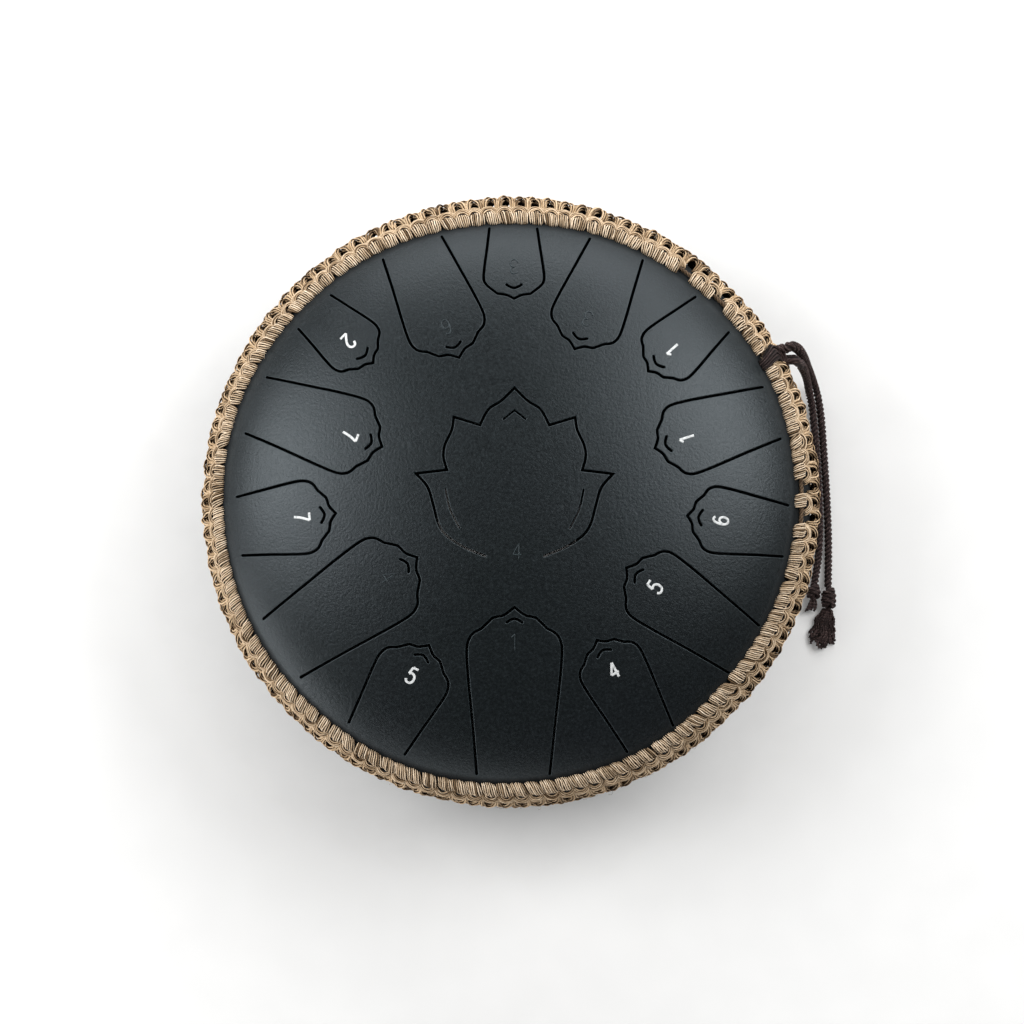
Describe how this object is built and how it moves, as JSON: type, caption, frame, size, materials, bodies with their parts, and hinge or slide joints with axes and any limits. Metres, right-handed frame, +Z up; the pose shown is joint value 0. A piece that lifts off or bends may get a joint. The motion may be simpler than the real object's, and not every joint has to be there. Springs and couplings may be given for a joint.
{
  "type": "steel tongue drum",
  "caption": "Round steel tongue drum with petal-tipped tongues round a lotus tongue, a knotted rope belt over the seam, a dark tie cord and rubber feet.",
  "frame": {"origin": "on the floor, under the drum's vertical axis, at the middle of the drum's footprint", "axes": "+Z up along the drum's axis, from the feet to the crown; -Y towards the longest tongue, where the player sits; +X to the player's right, where the tie cord lies"},
  "size_m": [0.3878, 0.365, 0.152],
  "materials": {
    "powder_coated_steel": "matt charcoal powder coat with a fine leathery grain",
    "jute_rope": "natural tan jute, hairy twisted strands",
    "dark_cord": "dark brown twisted cotton cord",
    "black_rubber": "matt black moulded rubber",
    "zinc_steel": "bright zinc plate",
    "weld_steel": "brushed weld bead, dark"
  },
  "bodies": {
    "root": {"top_shell": "powder_coated_steel", "bottom_shell": "powder_coated_steel", "seam_weld_bead": "weld_steel", "belt_upper_core_cord": "jute_rope", "belt_upper_hitch_row": "jute_rope", "belt_upper_chain_row": "jute_rope", "belt_side_net": "jute_rope", "belt_lower_chain_row": "jute_rope", "belt_lower_hitch_row": "jute_rope", "belt_lower_core_cord": "jute_rope", "tie_cord_hitch": "dark_cord", "tie_cord_long_tail": "dark_cord", "tie_cord_short_tail": "dark_cord", "long_tail_knot": "dark_cord", "short_tail_knot": "dark_cord", "long_tail_tassel": "dark_cord", "foot_1": "black_rubber", "foot_screw_1": "zinc_steel", "foot_washer_1": "zinc_steel", "foot_nut_1": "zinc_steel", "foot_2": "black_rubber", "foot_screw_2": "zinc_steel", "foot_washer_2": "zinc_steel", "foot_nut_2": "zinc_steel", "foot_3": "black_rubber", "foot_screw_3": "zinc_steel", "foot_washer_3": "zinc_steel", "foot_nut_3": "zinc_steel", "foot_4": "black_rubber", "foot_screw_4": "zinc_steel", "foot_washer_4": "zinc_steel", "foot_nut_4": "zinc_steel"}
  },
  "joints": []
}
